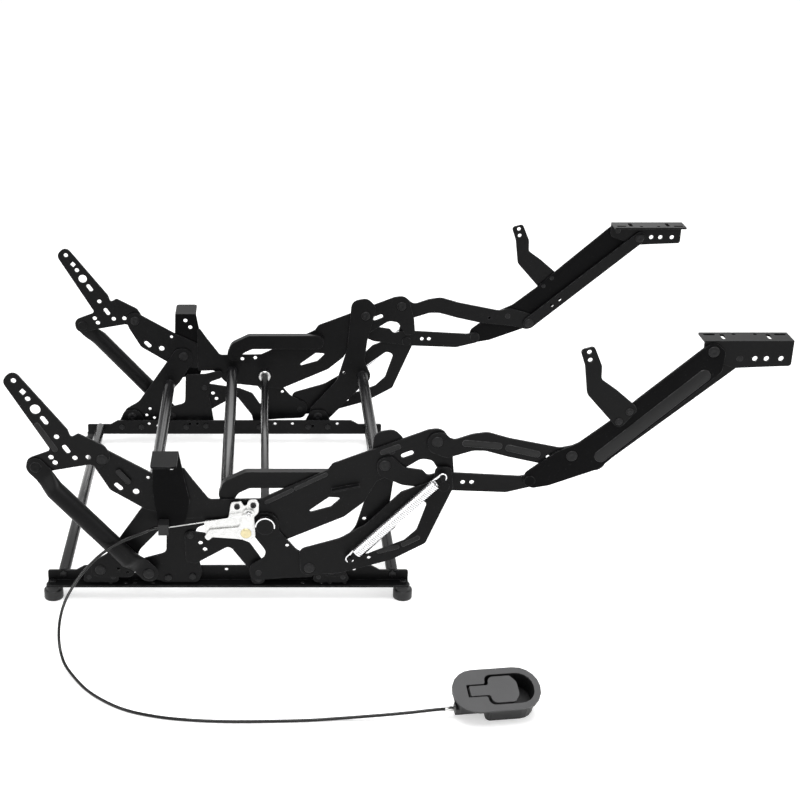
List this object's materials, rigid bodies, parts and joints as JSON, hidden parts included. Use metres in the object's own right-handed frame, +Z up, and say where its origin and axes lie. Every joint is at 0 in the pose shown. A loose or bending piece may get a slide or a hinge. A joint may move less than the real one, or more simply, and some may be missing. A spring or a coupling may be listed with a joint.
{
  "type": "recliner mechanism",
  "caption": "Manual recliner mechanism: mirrored folding steel side linkages on a rail base with cross tubes, extending footrest brackets, tilting back brackets and a cable release handle.",
  "frame": {"origin": "on the floor under the centre of the rail base, midway between the rails", "axes": "+X from the back towards the footrest, +Y towards the left side linkage, +Z up"},
  "size_m": [1.0294, 0.8939, 0.394],
  "materials": {
    "powder_coat": "satin",
    "tube_coat": "semi-gloss",
    "blackened_steel": "satin",
    "spring_steel": "bright",
    "zinc_plate": "bright",
    "black_plastic": "fine texture",
    "cable_skin": "smooth"
  },
  "bodies": {
    "base": {"right_base_rail": "powder_coat", "left_base_rail": "powder_coat", "rear_base_tube": "tube_coat", "front_base_tube": "tube_coat", "feet": "black_plastic", "base_bolts": "blackened_steel", "pivot_brackets": "powder_coat", "strut_brackets": "powder_coat", "base_stays": "powder_coat", "base_pins": "blackened_steel", "cable_sheath": "cable_skin", "handle_housing": "black_plastic", "handle_fittings": "zinc_plate"},
    "rear_lift": {"right_rear_lift_link": "powder_coat", "left_rear_lift_link": "powder_coat", "rear_lift_tube": "tube_coat"},
    "front_lift": {"right_front_lift_link": "powder_coat", "left_front_lift_link": "powder_coat", "front_lift_tube": "tube_coat"},
    "seat": {"right_seat_plate": "powder_coat", "left_seat_plate": "powder_coat", "right_rear_seat_plate": "powder_coat", "left_rear_seat_plate": "powder_coat", "inner_seat_rails": "powder_coat", "arm_brackets": "powder_coat", "seat_cross_tube": "tube_coat", "seat_pins": "blackened_steel", "latch_plate": "zinc_plate", "latch_screws": "zinc_plate", "cable_clamp": "black_plastic", "cable_wire": "zinc_plate"},
    "back": {"right_back_bracket": "powder_coat", "left_back_bracket": "powder_coat"},
    "strut": {"right_back_strut": "powder_coat", "left_back_strut": "powder_coat"},
    "crank": {"drive_shaft": "tube_coat", "right_crank": "powder_coat", "left_crank": "powder_coat", "crank_pins": "blackened_steel", "shaft_collars": "zinc_plate"},
    "drive": {"right_drive_link": "powder_coat", "left_drive_link": "powder_coat", "right_assist_spring": "spring_steel", "left_assist_spring": "spring_steel"},
    "rear_footrest": {"right_rear_footrest_link": "powder_coat", "left_rear_footrest_link": "powder_coat"},
    "front_footrest": {"right_front_footrest_link": "powder_coat", "left_front_footrest_link": "powder_coat", "footrest_link_pins": "blackened_steel"},
    "main_footrest": {"right_main_footrest_link": "powder_coat", "left_main_footrest_link": "powder_coat", "flipper_brackets": "powder_coat", "flipper_rivets": "blackened_steel"},
    "control": {"right_control_link": "powder_coat", "left_control_link": "powder_coat"},
    "footrest": {"right_footrest_bracket": "powder_coat", "left_footrest_bracket": "powder_coat", "bracket_pins": "blackened_steel"},
    "latch": {"latch_pawl": "zinc_plate"},
    "lever": {"handle_lever": "black_plastic"}
  },
  "joints": [
    {"name": "recline", "type": "hinge", "parent": "base", "child": "rear_lift", "pos_m": [-0.177, 0, 0.051], "axis": [0, 1, 0], "range_deg": [0, 12], "deforming": ["cable_sheath"]},
    {"name": "footrest_fold", "type": "hinge", "parent": "seat", "child": "front_footrest", "pos_m": [0.282, 0, 0.25], "axis": [0, 1, 0], "range_deg": [0, 94]},
    {"name": "lever_pull", "type": "hinge", "parent": "base", "child": "lever", "pos_m": [0.30499, -0.54272, 0.03433], "axis": [0.1122, -0.9136, -0.3907], "range_deg": [0, 25], "stiffness_Nm_per_rad": 0.3},
    {"name": "seat_tilt", "type": "hinge", "parent": "rear_lift", "child": "seat", "pos_m": [-0.086, 0, 0.161], "axis": [0, 1, 0], "range_deg": [-14.41, 0]},
    {"name": "front_lift_turn", "type": "hinge", "parent": "base", "child": "front_lift", "pos_m": [0.144, 0, 0.051], "axis": [0, 1, 0], "range_deg": [0, 5.65]},
    {"name": "back_tip", "type": "hinge", "parent": "seat", "child": "back", "pos_m": [-0.167, 0, 0.224], "axis": [0, 1, 0], "range_deg": [0, 31.01]},
    {"name": "strut_turn", "type": "hinge", "parent": "base", "child": "strut", "pos_m": [-0.109, 0, 0.051], "axis": [0, 1, 0], "range_deg": [0, 8.11]},
    {"name": "rear_footrest_turn", "type": "hinge", "parent": "seat", "child": "rear_footrest", "pos_m": [0.213, 0, 0.215], "axis": [0, 1, 0], "range_deg": [0, 84.19]},
    {"name": "main_footrest_turn", "type": "hinge", "parent": "front_footrest", "child": "main_footrest", "pos_m": [0.462, 0, 0.231], "axis": [0, 1, 0], "range_deg": [-113.5, 0]},
    {"name": "control_turn", "type": "hinge", "parent": "front_footrest", "child": "control", "pos_m": [0.498, 0, 0.22], "axis": [0, 1, 0], "range_deg": [-113.5, 0]},
    {"name": "footrest_turn", "type": "hinge", "parent": "main_footrest", "child": "footrest", "pos_m": [0.634, 0, 0.38], "axis": [0, 1, 0], "range_deg": [0, 113.5]},
    {"name": "crank_turn", "type": "hinge", "parent": "seat", "child": "crank", "pos_m": [0.052, 0, 0.126], "axis": [0, 1, 0], "range_deg": [0, 94.36]},
    {"name": "drive_turn", "type": "hinge", "parent": "crank", "child": "drive", "pos_m": [0.113, 0, 0.06], "axis": [0, 1, 0], "range_deg": [-75.84, 0]},
    {"name": "pawl_turn", "type": "hinge", "parent": "seat", "child": "latch", "pos_m": [0.026, 0, 0.116], "axis": [0, 1, 0], "range_deg": [-12.02, 0], "deforming": ["cable_wire"]}
  ],
  "couplings": [
    {"joint": "seat_tilt", "follows": "recline", "ratio": -1.1994},
    {"joint": "front_lift_turn", "follows": "recline", "ratio": 0.4689},
    {"joint": "back_tip", "follows": "recline", "ratio": 2.5825},
    {"joint": "strut_turn", "follows": "recline", "ratio": 0.6739},
    {"joint": "rear_footrest_turn", "follows": "footrest_fold", "ratio": 0.8954},
    {"joint": "main_footrest_turn", "follows": "footrest_fold", "ratio": -1.2072},
    {"joint": "control_turn", "follows": "footrest_fold", "ratio": -1.2072},
    {"joint": "footrest_turn", "follows": "footrest_fold", "ratio": 1.2072},
    {"joint": "crank_turn", "follows": "footrest_fold", "ratio": 1.0036},
    {"joint": "drive_turn", "follows": "footrest_fold", "ratio": -0.8066},
    {"joint": "pawl_turn", "follows": "lever_pull", "ratio": -0.48}
  ]
}
